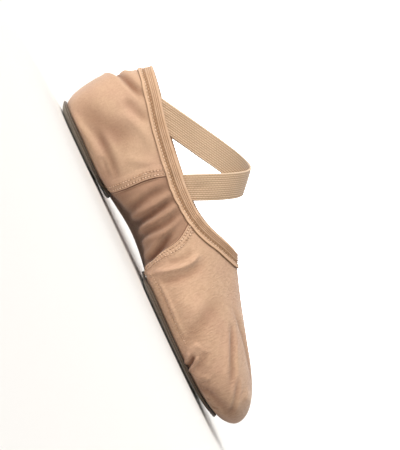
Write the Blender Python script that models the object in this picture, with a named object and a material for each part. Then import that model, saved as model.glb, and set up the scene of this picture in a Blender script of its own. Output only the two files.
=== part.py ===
"""Split sole ballet slipper for the left foot, in metres with +Z up.

The toe points along +Y, the inner side faces +X, and the shoe stands on z = 0
with its origin in the middle of its footprint. Canvas, suede and insoles all
read one skin: the outer face of the canvas, worked out from three lines that
run round the shoe, the tread line, the widest line and the collar.
"""

import math
from collections import namedtuple
from functools import lru_cache

import bmesh
import bpy
from mathutils import Vector

# The last
SHOE_LENGTH = 0.240
BALL_WIDTH = 0.087
HEEL_WIDTH = 0.059
COLLAR_BACK_HEIGHT = 0.064
COLLAR_SIDE_HEIGHT = 0.0505
THROAT_HEIGHT = 0.062
WIDEST_HEIGHT = 0.026
ARCH_LIFT = 0.0115
TOE_SPRING = 0.003

# Stock thicknesses and the clearance that sewn pieces keep
CANVAS = 0.0015
SUEDE = 0.0017
INSOLE = 0.0015
BINDING = 0.0008
ELASTIC = 0.0012
FIT = 0.0003
SUEDE_FIT = 0.0005
INSOLE_FIT = 0.0006
ELASTIC_FIT = 0.0005

# Seams of the upper: the folded hem stands proud of the arch panel
HEM_WIDTH = 0.006
HEM_STEP = 0.0006
HEM_EDGE = 0.0006
HEM_FADE = 0.0016

# Collar binding
BINDING_OUTSIDE = 0.009
BINDING_INSIDE = 0.0085

# Crossed elastics, wrapped round the instep above the collar
ELASTIC_WIDTH = 0.017
ELASTIC_TAIL = 0.012
INSTEP_SLOPE = math.radians(42)
INSTEP_HALF_WIDTH = 0.0245
INSTEP_CROWN = 0.034
CROSSING_HEIGHT = 0.091
CROSSING_ALONG = 0.398
REAR_END_ALONG = 0.167
FRONT_END_ALONG = 0.367
ELASTIC_SETTLE = 0.020

# Suede and insoles climb from the tread line to this share of the way to the widest line
SUEDE_REACH = 0.52
INSOLE_REACH = 0.36

# Stations where the two holes underneath end, where the arch panel meets the hems,
# where the collar leaves the sides, and where it has turned across the throat
HEEL_HOLE_END = 11 / 3
FOREFOOT_HOLE_END = 20 / 3
HEM_REAR = 4.0
HEM_FRONT = 6.0
SIDES_END = 8
THROAT_TURN = 11

# Levels of the skin, which is 0 in the middle of the sole
ON_TREAD = 1
ON_WIDEST = 2
ON_COLLAR = 3
HEM_RISE = 0.25

# Mesh fineness. SLIGHT is in stations or levels, PROBE in metres, and both are the
# step over which a direction is read.
COLUMNS_PER_STATION = 3
NEAREST_COLUMN = 0.4
TURN_ROWS = 4
WALL_ROWS = 7
ROW_CROWDING = 1.35
CURVE_STEPS = 36
ELASTIC_PARTS = 4
ELASTIC_STEPS_PER_WIDTH = 3
SHARP_ANGLE = math.radians(50)
SLIGHT = 0.004
PROBE = 0.002

# One row for each station from the back of the heel to the tip of the toe.
# along is a share of SHOE_LENGTH. inner and outer are shares of the station's
# width, which follows BALL_WIDTH by the share ball and HEEL_WIDTH by the rest.
Widest = namedtuple("Widest", "along ball inner outer inner_rise outer_rise")
WIDEST_LINE = (
    Widest(0.000, 0.00, 0.000, 0.000, 1.00, 1.00),
    Widest(0.023, 0.00, 0.314, 0.314, 0.96, 0.96),
    Widest(0.092, 0.00, 0.475, 0.475, 0.89, 0.88),
    Widest(0.192, 0.00, 0.497, 0.505, 0.87, 0.86),
    Widest(0.304, 0.15, 0.451, 0.514, 0.96, 0.85),
    Widest(0.400, 0.40, 0.420, 0.513, 1.07, 0.83),
    Widest(0.492, 0.70, 0.433, 0.515, 0.96, 0.77),
    Widest(0.550, 0.85, 0.459, 0.517, 0.87, 0.73),
    Widest(0.612, 1.00, 0.471, 0.506, 0.79, 0.71),
    Widest(0.683, 1.00, 0.492, 0.500, 0.73, 0.69),
    Widest(0.754, 1.00, 0.494, 0.466, 0.69, 0.65),
    Widest(0.829, 1.00, 0.468, 0.398, 0.66, 0.62),
    Widest(0.902, 1.00, 0.416, 0.306, 0.64, 0.61),
    Widest(0.964, 1.00, 0.300, 0.185, 0.65, 0.64),
    Widest(1.000, 1.00, 0.066, -0.066, 0.68, 0.68),
)

# The edge of what treads flat. Lifts are shares of ARCH_LIFT, spring of TOE_SPRING.
Tread = namedtuple("Tread", "along inner outer inner_lift outer_lift spring")
TREAD_LINE = (
    Tread(0.046, 0.000, 0.000, 0.00, 0.00, 0.00),
    Tread(0.060, 0.144, 0.144, 0.00, 0.00, 0.00),
    Tread(0.112, 0.237, 0.237, 0.00, 0.00, 0.00),
    Tread(0.196, 0.246, 0.263, 0.00, 0.00, 0.00),
    Tread(0.292, 0.190, 0.293, 0.35, 0.08, 0.00),
    Tread(0.408, 0.150, 0.313, 1.00, 0.33, 0.00),
    Tread(0.517, 0.197, 0.324, 0.33, 0.10, 0.00),
    Tread(0.562, 0.236, 0.326, 0.05, 0.00, 0.00),
    Tread(0.612, 0.259, 0.316, 0.00, 0.00, 0.00),
    Tread(0.662, 0.282, 0.310, 0.00, 0.00, 0.00),
    Tread(0.717, 0.287, 0.287, 0.00, 0.00, 0.00),
    Tread(0.775, 0.270, 0.241, 0.00, 0.00, 0.00),
    Tread(0.838, 0.228, 0.170, 0.00, 0.00, 0.15),
    Tread(0.882, 0.158, 0.072, 0.00, 0.00, 0.60),
    Tread(0.904, 0.045, -0.045, 0.00, 0.00, 1.00),
)

# The collar edge, from the back to the throat. Its height is a mix of the back,
# side and throat heights. lean is how steeply the wall meets the edge, in degrees.
Collar = namedtuple("Collar", "along inner outer back throat lean")
COLLAR_LINE = (
    Collar(0.035, 0.000, 0.000, 1.00, 0.00, 76),
    Collar(0.054, 0.229, 0.229, 0.96, 0.00, 76),
    Collar(0.112, 0.364, 0.364, 0.78, 0.00, 78),
    Collar(0.204, 0.424, 0.432, 0.42, 0.00, 80),
    Collar(0.329, 0.427, 0.443, 0.11, 0.00, 80),
    Collar(0.392, 0.385, 0.399, 0.02, 0.00, 76),
    Collar(0.442, 0.331, 0.337, 0.00, 0.03, 68),
    Collar(0.488, 0.284, 0.272, 0.00, 0.25, 58),
    Collar(0.521, 0.218, 0.195, 0.00, 0.52, 48),
    Collar(0.544, 0.172, 0.138, 0.00, 0.72, 42),
    Collar(0.561, 0.132, 0.090, 0.00, 0.85, 37),
    Collar(0.573, 0.101, 0.052, 0.00, 0.93, 32),
    Collar(0.582, 0.075, 0.021, 0.00, 0.97, 28),
    Collar(0.586, 0.054, -0.009, 0.00, 0.99, 25),
    Collar(0.5875, 0.034, -0.034, 0.00, 1.00, 22),
)
LAST_STATION = len(WIDEST_LINE) - 1
LAP = 2 * LAST_STATION

# How the wall bends: shares of its rise and of its reach that its ends run straight
LOWER_PULL = 0.50
UPPER_PULL = 0.50
UPPER_RISE_PULL = 0.33

# Pads: where each turns back at heel or toe, where its free end starts to round and ends
Pad = namedtuple("Pad", "turn round_from end")
HEEL_SUEDE = Pad(0, 8 / 3, 4.1)
FOREFOOT_SUEDE = Pad(LAST_STATION, 23 / 3, 6.05)
HEEL_PAD = Pad(0, 10 / 3, 4.4)
FOREFOOT_PAD = Pad(LAST_STATION, 20 / 3, 5.8)
ROUND_ROWS = 6
END_SQUARENESS = 2.4

Finish = namedtuple("Finish", "name colour roughness")
CANVAS_FINISH = Finish("nude stretch canvas", (0.68, 0.42, 0.29), 0.85)
BINDING_FINISH = Finish("tan bias binding", (0.66, 0.43, 0.25), 0.8)
ELASTIC_FINISH = Finish("nude ribbed elastic", (0.56, 0.36, 0.24), 0.7)
SUEDE_FINISH = Finish("taupe split suede", (0.12, 0.09, 0.065), 0.95)
INSOLE_FINISH = Finish("cream insole cloth", (0.62, 0.48, 0.36), 0.9)


def between(before, low, high, after, share):
    """A smooth curve from low to high, shaped by the values on either side."""
    bend = 2 * before - 5 * low + 4 * high - after
    twist = 3 * low - before - 3 * high + after
    return (2 * low + (high - before) * share + bend * share**2 + twist * share**3) / 2


def on_loop(inner, outer, place):
    """Read a value at a place on the lap: the inner side forward, then the outer side back."""
    loop = inner + outer[-2:0:-1]
    station = math.floor(place)
    four = [loop[(station + step) % LAP] for step in (-1, 0, 1, 2)]
    return between(*four, place - station)


def on_column(table, name, place):
    """Read a column that is the same on both sides of the shoe."""
    values = [getattr(row, name) for row in table]
    return on_loop(values, values, place)


def side_column(table, inner_name, outer_name, place):
    """Read a column that differs between the two sides of the shoe."""
    inner = [getattr(row, inner_name) for row in table]
    outer = [getattr(row, outer_name) for row in table]
    return on_loop(inner, outer, place)


def station_widths():
    """The width that each station's shares belong to."""
    return [HEEL_WIDTH + (BALL_WIDTH - HEEL_WIDTH) * row.ball for row in WIDEST_LINE]


def sideways(table, place):
    """The x of a line, positive on the inner side."""
    widths = station_widths()
    inner = [row.inner * width for row, width in zip(table, widths)]
    outer = [-row.outer * width for row, width in zip(table, widths)]
    return on_loop(inner, outer, place)


@lru_cache(maxsize=None)
def widest_point(place):
    rise = side_column(WIDEST_LINE, "inner_rise", "outer_rise", place)
    along = on_column(WIDEST_LINE, "along", place) * SHOE_LENGTH
    return Vector((sideways(WIDEST_LINE, place), along, rise * WIDEST_HEIGHT))


@lru_cache(maxsize=None)
def tread_point(place):
    arch = max(0, side_column(TREAD_LINE, "inner_lift", "outer_lift", place)) * ARCH_LIFT
    spring = max(0, on_column(TREAD_LINE, "spring", place)) * TOE_SPRING
    along = on_column(TREAD_LINE, "along", place) * SHOE_LENGTH
    return Vector((sideways(TREAD_LINE, place), along, SUEDE + SUEDE_FIT + arch + spring))


@lru_cache(maxsize=None)
def collar_point(place):
    back = on_column(COLLAR_LINE, "back", place)
    throat = on_column(COLLAR_LINE, "throat", place)
    height = COLLAR_SIDE_HEIGHT * (1 - back - throat)
    height += COLLAR_BACK_HEIGHT * back + THROAT_HEIGHT * throat
    along = on_column(COLLAR_LINE, "along", place) * SHOE_LENGTH
    return Vector((sideways(COLLAR_LINE, place), along, height))


def collar_rise(place):
    """The direction in which the wall runs out over the collar edge."""
    flat = collar_point(place) - widest_point(place)
    flat.z = 0
    lean = math.radians(on_column(COLLAR_LINE, "lean", place))
    return flat.normalized() * math.cos(lean) + Vector((0, 0, math.sin(lean)))


def measured(points):
    """A line with the length reached at each of its points."""
    lengths = [0.0]
    for start, end in zip(points, points[1:]):
        lengths.append(lengths[-1] + (end - start).length)
    return points, lengths


def at_length(line, length):
    """The point of a measured line at a length from its start."""
    points, lengths = line
    step = 1
    while step < len(points) - 1 and lengths[step] < length:
        step += 1
    share = (length - lengths[step - 1]) / (lengths[step] - lengths[step - 1])
    return points[step - 1].lerp(points[step], share)


@lru_cache(maxsize=None)
def wall_line(place):
    """The wall from the widest line up to the collar edge."""
    low, top = widest_point(place), collar_point(place)
    rise = top.z - low.z
    reach = (top.xy - low.xy).length
    tip = collar_rise(place)
    pull = UPPER_PULL * reach * tip.xy.length + UPPER_RISE_PULL * rise * tip.z
    low_pull = low + Vector((0, 0, LOWER_PULL * rise))
    top_pull = top - tip * pull
    points = []
    for step in range(CURVE_STEPS + 1):
        share = step / CURVE_STEPS
        rest = 1 - share
        point = low * rest**3 + low_pull * (3 * rest**2 * share)
        points.append(point + top_pull * (3 * rest * share**2) + top * share**3)
    return measured(points)


def wall_length(place):
    return wall_line(place)[1][-1]


def across(place, level):
    """The sole between the tread lines, level 0 in the middle and 1 at the tread line."""
    own, other = tread_point(place), tread_point(LAP - place)
    share = (1 + level) / 2
    ease = share * share * (3 - 2 * share)
    point = other.lerp(own, share)
    point.z = other.z + (own.z - other.z) * ease
    return point


def skin(place, level):
    """The canvas's outer face at a place on the lap and a level up its side."""
    if level <= ON_TREAD:
        return across(place, level)
    if level <= ON_WIDEST:
        angle = (level - ON_TREAD) * math.pi / 2
        low, wide = tread_point(place), widest_point(place)
        flat = low.xy.lerp(wide.xy, math.sin(angle))
        return Vector((*flat, low.z + (wide.z - low.z) * (1 - math.cos(angle))))
    return at_length(wall_line(place), (level - ON_WIDEST) * wall_length(place))


def skin_normal(place, level):
    """Straight out of the canvas's outer face."""
    low, high = max(level - SLIGHT, 0), min(level + SLIGHT, ON_COLLAR)
    up = skin(place, high) - skin(place, low)
    on = skin(place + SLIGHT, level) - skin(place - SLIGHT, level)
    out = on.cross(up)
    if level <= ON_TREAD and out.length < SLIGHT**4:
        return Vector((0, 0, -1))
    return out.normalized()


def station_at(line, along, low, high):
    """The place between two stations where a line is this far along the shoe."""
    for _ in range(CURVE_STEPS):
        middle = (low + high) / 2
        if line(middle) < along:
            low = middle
        else:
            high = middle
    return (low + high) / 2


def steps_in(length, place):
    """How many stations a length takes up along the widest line at a place."""
    ahead = widest_point(place + 0.5) - widest_point(place - 0.5)
    return length / ahead.length


def hem(place, level):
    """How far the folded hem beside each seam stands out of the skin."""
    station = min(place, LAP - place)
    rear = (HEM_REAR - station) / steps_in(HEM_WIDTH, HEM_REAR)
    front = (station - HEM_FRONT) / steps_in(HEM_WIDTH, HEM_FRONT)
    inward = max(rear, front)
    edge, fade = HEM_EDGE / HEM_WIDTH, HEM_FADE / HEM_WIDTH
    out = min(1, max(0, inward) / edge, max(0, 1 + fade - inward) / fade)
    return HEM_STEP * out * min(1, max(0, level - ON_TREAD) / HEM_RISE)


def hem_stations():
    """The stations where the hems begin, reach full height and fade out."""
    found = []
    for seam, towards in ((HEM_REAR, -1), (HEM_FRONT, 1)):
        for length in (0, HEM_EDGE, HEM_WIDTH, HEM_WIDTH + HEM_FADE):
            found.append(seam + towards * steps_in(length, seam))
    return found


def upper_stations():
    """Every station from heel to toe that gets a column of faces."""
    count = LAST_STATION * COLUMNS_PER_STATION
    even = [step / COLUMNS_PER_STATION for step in range(count + 1)]
    hems = hem_stations()
    near = NEAREST_COLUMN / COLUMNS_PER_STATION
    kept = [s for s in even if all(abs(s - h) > near for h in hems) or s in hems]
    return sorted(set(kept) | set(hems) | {HEEL_HOLE_END, FOREFOOT_HOLE_END})


def key(place, level):
    """A name for a point of the skin that is the same from whichever side it is reached."""
    station = min(place % LAP, LAP - place % LAP)
    level = max(level, ON_TREAD) if station in (0, LAST_STATION) else level
    middle = station in (0, LAST_STATION) or level == 0
    side = 0 if middle or place % LAP < LAST_STATION else 1
    return round(station, 7), side, round(level, 7)


def key_place(name):
    station, side, level = name
    return (LAP - station if side else station), level


def quads(rows):
    """Faces between rows of keys, with repeated corners dropped."""
    faces = []
    for near, far in zip(rows, rows[1:]):
        for step in range(len(near) - 1):
            corners = (near[step], near[step + 1], far[step + 1], far[step])
            face = tuple(dict.fromkeys(corners))
            if len(face) > 2:
                faces.append(face)
    return faces


def new_object(name, work, finish, carrier):
    """Turn a bmesh into a shaded object with its own material."""
    bmesh.ops.recalc_face_normals(work, faces=work.faces)
    mesh = bpy.data.meshes.new(name)
    work.to_mesh(mesh)
    work.free()
    mesh.shade_smooth()
    mesh.set_sharp_from_angle(angle=SHARP_ANGLE)
    material = bpy.data.materials.new(finish.name)
    material.use_nodes = True
    shader = material.node_tree.nodes["Principled BSDF"]
    shader.inputs["Base Color"].default_value = (*finish.colour, 1)
    shader.inputs["Roughness"].default_value = finish.roughness
    shader.inputs["Metallic"].default_value = 0
    mesh.materials.append(material)
    item = bpy.data.objects.new(name, mesh)
    bpy.context.collection.objects.link(item)
    item.parent = carrier
    return item


def shell(name, faces, outside, inside, finish, carrier):
    """A closed wall between two offsets of one sheet of faces."""
    work = bmesh.new()
    outer, inner = {}, {}
    for corner in dict.fromkeys(corner for face in faces for corner in face):
        outer[corner] = work.verts.new(outside(corner))
        inner[corner] = work.verts.new(inside(corner))
    edges = {}
    for face in faces:
        work.faces.new([outer[corner] for corner in face])
        work.faces.new([inner[corner] for corner in reversed(face)])
        for start, end in zip(face, face[1:] + face[:1]):
            edges.setdefault(frozenset((start, end)), []).append((start, end))
    for uses in edges.values():
        if len(uses) == 1:
            start, end = uses[0]
            work.faces.new((outer[end], outer[start], inner[start], inner[end]))
    return new_object(name, work, finish, carrier)


def off_skin(distance):
    """Points at a distance out of the canvas's outer face, following the hems outside."""
    def point(name):
        place, level = key_place(name)
        out = distance + (hem(place, level) if distance >= 0 else 0)
        return skin(place, level) + skin_normal(place, level) * out
    return point


def upper_levels(place):
    """The levels of a column, from the tread line to the collar edge."""
    turn = [ON_TREAD + step / TURN_ROWS for step in range(TURN_ROWS)]
    under_binding = ON_COLLAR - (BINDING_OUTSIDE + HEM_EDGE) / wall_length(place)
    shares = [(step / WALL_ROWS) ** ROW_CROWDING for step in range(WALL_ROWS + 1)]
    wall = [ON_WIDEST + (under_binding - ON_WIDEST) * share for share in shares]
    return turn + wall + [(under_binding + ON_COLLAR) / 2, ON_COLLAR]


def make_upper(carrier):
    """The canvas: a hollow shell, open at the collar and under heel and forefoot."""
    stations = upper_stations()
    lap = stations + [LAP - station for station in reversed(stations[:-1])]
    walls = quads([[key(place, level) for level in upper_levels(place)] for place in lap])
    waist = [s for s in stations if HEEL_HOLE_END <= s <= FOREFOOT_HOLE_END]
    levels = [0, ON_TREAD / 2, ON_TREAD]
    rows = []
    for station in waist:
        outer = [key(LAP - station, level) for level in reversed(levels)]
        rows.append(outer + [key(station, level) for level in levels[1:]])
    faces = walls + [tuple(reversed(face)) for face in quads(rows)]
    shell("upper", faces, off_skin(0), off_skin(-CANVAS), CANVAS_FINISH, carrier)


def pad_stations(pad):
    """The stations of a pad, close together where its free end rounds off."""
    rear, front = sorted((pad.turn, pad.round_from))
    count = LAST_STATION * COLUMNS_PER_STATION
    even = [step / COLUMNS_PER_STATION for step in range(count + 1)]
    body = [s for s in even if rear <= s <= front]
    if pad.turn:
        body.reverse()
    span = pad.end - pad.round_from
    turns = [math.sin(math.pi / 2 * step / ROUND_ROWS) for step in range(1, ROUND_ROWS + 1)]
    ends = [pad.round_from + span * turn for turn in turns]
    hems = [s for s in hem_stations() if 0 < (s - pad.round_from) / span < 1]
    return body + sorted(ends + hems, reverse=span < 0)


def pad_reach(pad, station, reach):
    """How many levels a pad spreads to each side at a station."""
    full = ON_TREAD + math.asin(reach) * 2 / math.pi
    share = max(0, (station - pad.round_from) / (pad.end - pad.round_from))
    return full * max(0, 1 - share**END_SQUARENESS) ** (1 / END_SQUARENESS)


def make_pad(name, pad, reach, out_face, in_face, finish, carrier):
    """A pad under or in the shoe that follows the skin at two distances from it."""
    full = ON_TREAD + math.asin(reach) * 2 / math.pi
    flat = ON_TREAD / full
    shares = [0, flat / 2, flat, (1 + flat) / 2, 1]
    rows = []
    for station in pad_stations(pad):
        levels = [pad_reach(pad, station, reach) * share for share in shares]
        outer = [key(LAP - station, level) for level in reversed(levels)]
        rows.append(outer + [key(station, level) for level in levels[1:]])
    shell(name, quads(rows), off_skin(out_face), off_skin(in_face), finish, carrier)


def rim_point(place, drop, out):
    """A point beside the collar edge: drop runs down the wall, out runs out of it."""
    out = out + (hem(place, ON_COLLAR) if out > 0 else 0)
    if drop <= 0:
        edge = collar_point(place) - collar_rise(place) * drop
        return edge + skin_normal(place, ON_COLLAR) * out
    level = ON_COLLAR - drop / wall_length(place)
    return skin(place, level) + skin_normal(place, level) * out


def binding_section():
    """The folded strip's section as (drop, out) pairs, once round."""
    near, far = FIT, FIT + BINDING
    back_near, back_far = -CANVAS - near, -CANVAS - far
    return (
        (BINDING_OUTSIDE, near),
        (BINDING_OUTSIDE, far),
        (BINDING_OUTSIDE / 2, far),
        (0, far),
        (-far, near),
        (-far, back_near),
        (0, back_far),
        (BINDING_INSIDE / 2, back_far),
        (BINDING_INSIDE, back_far),
        (BINDING_INSIDE, back_near),
        (BINDING_INSIDE / 2, back_near),
        (-near, back_near),
        (-near, near),
        (BINDING_OUTSIDE / 2, near),
    )


def make_binding(carrier):
    """The bias binding, folded over the collar edge all the way round."""
    stations = [s for s in upper_stations() if s < THROAT_TURN or s == round(s)]
    lap = stations + [LAP - station for station in reversed(stations[1:-1])]
    section = binding_section()
    work = bmesh.new()
    rings = [[work.verts.new(rim_point(place, *spot)) for spot in section] for place in lap]
    for ring, following in zip(rings, rings[1:] + rings[:1]):
        for step in range(len(section)):
            after = (step + 1) % len(section)
            work.faces.new((ring[step], ring[after], following[after], following[step]))
    new_object("collar_binding", work, BINDING_FINISH, carrier)


@lru_cache(maxsize=None)
def instep_arch():
    """Half of the instep's section: x sideways, y the depth below its crown."""
    points = []
    for step in range(CURVE_STEPS + 1):
        angle = math.pi / 2 * step / CURVE_STEPS
        across_instep = INSTEP_HALF_WIDTH * math.sin(angle)
        points.append(Vector((across_instep, INSTEP_CROWN * (1 - math.cos(angle)))))
    points.append(Vector((INSTEP_HALF_WIDTH, INSTEP_CROWN + SHOE_LENGTH)))
    return measured(points)


def instep_frame():
    """The crossing, with the directions forward down the instep and out of it."""
    crossing = Vector((0, CROSSING_ALONG * SHOE_LENGTH, CROSSING_HEIGHT))
    forward = Vector((0, math.cos(INSTEP_SLOPE), -math.sin(INSTEP_SLOPE)))
    out = Vector((0, math.sin(INSTEP_SLOPE), math.cos(INSTEP_SLOPE)))
    return crossing, forward, out


def arch_length(depth):
    """How far round the instep's section a depth below its crown is reached."""
    _, lengths = instep_arch()
    if depth >= INSTEP_CROWN:
        return lengths[CURVE_STEPS] + depth - INSTEP_CROWN
    step = math.acos(1 - depth / INSTEP_CROWN) / (math.pi / 2) * CURVE_STEPS
    low = math.floor(step)
    return lengths[low] + (lengths[low + 1] - lengths[low]) * (step - low)


def unrolled(along):
    """Where the collar edge at this place along the shoe lies on the unrolled instep."""
    edge = station_at(lambda s: collar_point(s).y, along * SHOE_LENGTH, 0, SIDES_END)
    crossing, forward, out = instep_frame()
    offset = collar_point(edge) - crossing
    return Vector((arch_length(-offset.dot(out)), offset.dot(forward)))


def wall_at_height(place, height):
    """The column's point at a height, or on its straight run above the collar."""
    points, _ = wall_line(place)
    top = points[-1]
    if height >= top.z:
        rise = collar_rise(place)
        return top + rise * ((height - top.z) / rise.z)
    for start, end in zip(points, points[1:]):
        if end.z >= height:
            share = (height - start.z) / (end.z - start.z)
            return start.lerp(end, share)
    return top


def inside_wall(along, height, inner_side):
    """The x of an elastic's middle against the inside of the binding, and the edge's height."""
    def place_of(station):
        return station if inner_side else LAP - station
    spot = station_at(lambda s: wall_at_height(place_of(s), height).y, along, 0, SIDES_END)
    place = place_of(spot)
    normal = skin_normal(place, ON_COLLAR)
    depth = CANVAS + FIT + BINDING + ELASTIC_FIT + ELASTIC / 2
    edge = collar_point(place).z
    return wall_at_height(place, height).x - depth / normal.x, edge


def ease(share):
    share = min(1, max(0, share))
    return share * share * (3 - 2 * share)


def elastic_point(path, length, aside, mirrored, lift):
    """The middle of an elastic at a length along it and a distance aside."""
    start, end = path
    run = (end - start).normalized()
    spot = start + run * length + Vector((-run.y, run.x)) * aside
    crossing, forward, out = instep_frame()
    arch = at_length(instep_arch(), abs(spot.x))
    side = math.copysign(1, spot.x)
    point = crossing + forward * spot.y - out * arch.y
    point.x = side * arch.x
    slope = at_length(instep_arch(), abs(spot.x) + PROBE)
    slope -= at_length(instep_arch(), abs(spot.x) - PROBE)
    normal = (out * slope.x + Vector((side * slope.y, 0, 0))).normalized()
    middle = start.x / (start.x - end.x) * (end - start).length
    overlap = ELASTIC_WIDTH / math.sin(2 * math.atan2(abs(run.y), abs(run.x)))
    past = abs(length - middle) - overlap - ELASTIC_TAIL
    point += normal * lift * (1 - ease(past / ELASTIC_TAIL))
    point.x = -point.x if mirrored else point.x
    wall, edge = inside_wall(point.y, point.z, point.x > 0)
    free = ease((point.z - edge - BINDING) / ELASTIC_SETTLE)
    point.x = wall + (point.x - wall) * free
    return point


def make_elastic(name, mirrored, lift, carrier):
    """One elastic, from its tail inside one heel side to its tail inside the other front."""
    rear, front = unrolled(REAR_END_ALONG), unrolled(FRONT_END_ALONG)
    path = (rear, Vector((-front.x, front.y)))
    length = (path[1] - path[0]).length
    whole = length + 2 * ELASTIC_TAIL
    count = round(whole / ELASTIC_WIDTH * ELASTIC_STEPS_PER_WIDTH)
    shares = [part / ELASTIC_PARTS - 0.5 for part in range(ELASTIC_PARTS + 1)]
    rows = []
    for step in range(count + 1):
        run = whole * step / count - ELASTIC_TAIL
        rows.append([(run, ELASTIC_WIDTH * share) for share in shares])
    faces = quads(rows)

    def middle(spot):
        return elastic_point(path, *spot, mirrored, lift)

    def face_at(distance):
        def point(spot):
            run, aside = spot
            on = middle((run + PROBE, aside)) - middle((run - PROBE, aside))
            wide = middle((run, aside + PROBE)) - middle((run, aside - PROBE))
            return middle(spot) + on.cross(wide).normalized() * distance
        return point

    shell(name, faces, face_at(ELASTIC / 2), face_at(-ELASTIC / 2), ELASTIC_FINISH, carrier)


def footprint_middle():
    """The middle of the shoe's outline seen from above."""
    count = LAP * COLUMNS_PER_STATION
    outline = [widest_point(step / COLUMNS_PER_STATION) for step in range(count)]
    sides = [point.x for point in outline]
    return Vector(((min(sides) + max(sides)) / 2, SHOE_LENGTH / 2, 0))


def make_slipper():
    for item in list(bpy.data.objects):
        bpy.data.objects.remove(item, do_unlink=True)
    slipper = bpy.data.objects.new("slipper", None)
    bpy.context.collection.objects.link(slipper)
    slipper.location = -footprint_middle()
    make_upper(slipper)
    make_binding(slipper)
    suede = (SUEDE_FIT + SUEDE, SUEDE_FIT, SUEDE_FINISH, slipper)
    make_pad("heel_sole_patch", HEEL_SUEDE, SUEDE_REACH, *suede)
    make_pad("forefoot_sole_patch", FOREFOOT_SUEDE, SUEDE_REACH, *suede)
    rest = -CANVAS - INSOLE_FIT
    inside = (rest, rest - INSOLE, INSOLE_FINISH, slipper)
    make_pad("heel_insole", HEEL_PAD, INSOLE_REACH, *inside)
    make_pad("forefoot_insole", FOREFOOT_PAD, INSOLE_REACH, *inside)
    make_elastic("elastic_strap_lower", False, 0, slipper)
    make_elastic("elastic_strap_upper", True, ELASTIC + ELASTIC_FIT, slipper)


make_slipper()
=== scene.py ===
import math

import bmesh
import bpy
import numpy as np
from mathutils import Matrix, Vector, noise
from mathutils.bvhtree import BVHTree


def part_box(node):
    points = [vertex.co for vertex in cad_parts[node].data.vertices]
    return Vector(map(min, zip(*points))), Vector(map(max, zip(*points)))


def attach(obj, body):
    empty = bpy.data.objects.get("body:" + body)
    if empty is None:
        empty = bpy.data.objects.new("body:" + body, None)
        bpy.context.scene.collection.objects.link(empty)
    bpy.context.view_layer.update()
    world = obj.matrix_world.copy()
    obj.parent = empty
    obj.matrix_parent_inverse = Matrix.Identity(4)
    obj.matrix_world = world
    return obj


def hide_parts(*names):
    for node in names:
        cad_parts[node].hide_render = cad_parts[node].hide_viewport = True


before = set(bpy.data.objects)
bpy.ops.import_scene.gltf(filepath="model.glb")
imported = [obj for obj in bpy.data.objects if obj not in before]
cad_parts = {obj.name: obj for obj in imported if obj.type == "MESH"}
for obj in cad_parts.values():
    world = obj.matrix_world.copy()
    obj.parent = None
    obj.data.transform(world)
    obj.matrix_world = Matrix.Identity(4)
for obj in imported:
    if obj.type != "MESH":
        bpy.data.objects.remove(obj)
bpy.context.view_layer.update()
mm = 0.001
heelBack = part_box("upper")[0].y  # the heel's back, where y = 0 mm
print("frame loaded")


# Tools

def pickOnly(piece):
    for other in bpy.context.selected_objects:
        other.select_set(False)
    piece.select_set(True)
    bpy.context.view_layer.objects.active = piece


def addPiece(name, mesh):
    piece = bpy.data.objects.new(name, mesh)
    bpy.context.scene.collection.objects.link(piece)
    return piece


def meshOf(name, points, faces):
    mesh = bpy.data.meshes.new(name)
    mesh.from_pydata([tuple(point) for point in points], [], [tuple(face) for face in faces])
    mesh.validate()
    return mesh


def nodeCopy(node, name):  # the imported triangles, merged and turned back into quads
    piece = addPiece(name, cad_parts[node].data.copy())
    piece.data.materials.clear()
    pickOnly(piece)
    bpy.ops.object.mode_set(mode="EDIT")
    bpy.ops.mesh.select_all(action="SELECT")
    bpy.ops.mesh.remove_doubles(threshold=1e-6)
    bpy.ops.mesh.tris_convert_to_quads(face_threshold=math.pi, shape_threshold=math.pi)
    bpy.ops.mesh.customdata_custom_splitnormals_clear()
    bpy.ops.object.mode_set(mode="OBJECT")
    return piece


def refine(piece, levels):
    finer = piece.modifiers.new("finer", "SUBSURF")
    finer.levels = finer.render_levels = levels
    pickOnly(piece)
    bpy.ops.object.modifier_apply(modifier=finer.name)


def pointsOf(piece):
    points = np.empty(len(piece.data.vertices) * 3)
    piece.data.vertices.foreach_get("co", points)
    return points.reshape(-1, 3)


def putPoints(piece, points):
    piece.data.vertices.foreach_set("co", points.ravel())
    piece.data.update()


def smooth(share):  # a soft step from 0 to 1
    share = np.clip(share, 0, 1)
    return share * share * (3 - 2 * share)


def evenly(rows, count, closed=False):  # a smooth run through rows, at even steps
    rows = np.asarray(rows, float)
    total = len(rows)
    spots = np.arange(count) * total / count if closed else np.linspace(0, total - 1, count)
    low = np.floor(spots).astype(int) if closed else np.minimum(spots.astype(int), total - 2)
    share = (spots - low).reshape(-1, *[1] * (rows.ndim - 1))
    wrap = (lambda at: at % total) if closed else (lambda at: np.clip(at, 0, total - 1))
    before, start, end, after = (rows[wrap(low + step)] for step in (-1, 0, 1, 2))
    bend = 2 * before - 5 * start + 4 * end - after
    twist = 3 * start - before - 3 * end + after
    return start + ((end - before) * share + bend * share**2 + twist * share**3) / 2


def paced(points, step):  # the same line with a point at every step of its length
    points = np.asarray(points, float)
    runs = np.linalg.norm(np.diff(points, axis=0), axis=1)
    reached = np.concatenate([[0], np.cumsum(runs)])
    count = max(2, round(reached[-1] / step) + 1)
    wanted = np.linspace(0, reached[-1], count)
    return np.stack([np.interp(wanted, reached, points[:, axis]) for axis in range(3)], 1)


def merged(node):  # a node's triangles with their corners joined, for reading
    work = bmesh.new()
    work.from_mesh(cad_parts[node].data)
    bmesh.ops.remove_doubles(work, verts=work.verts, dist=1e-6)
    return work


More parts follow.
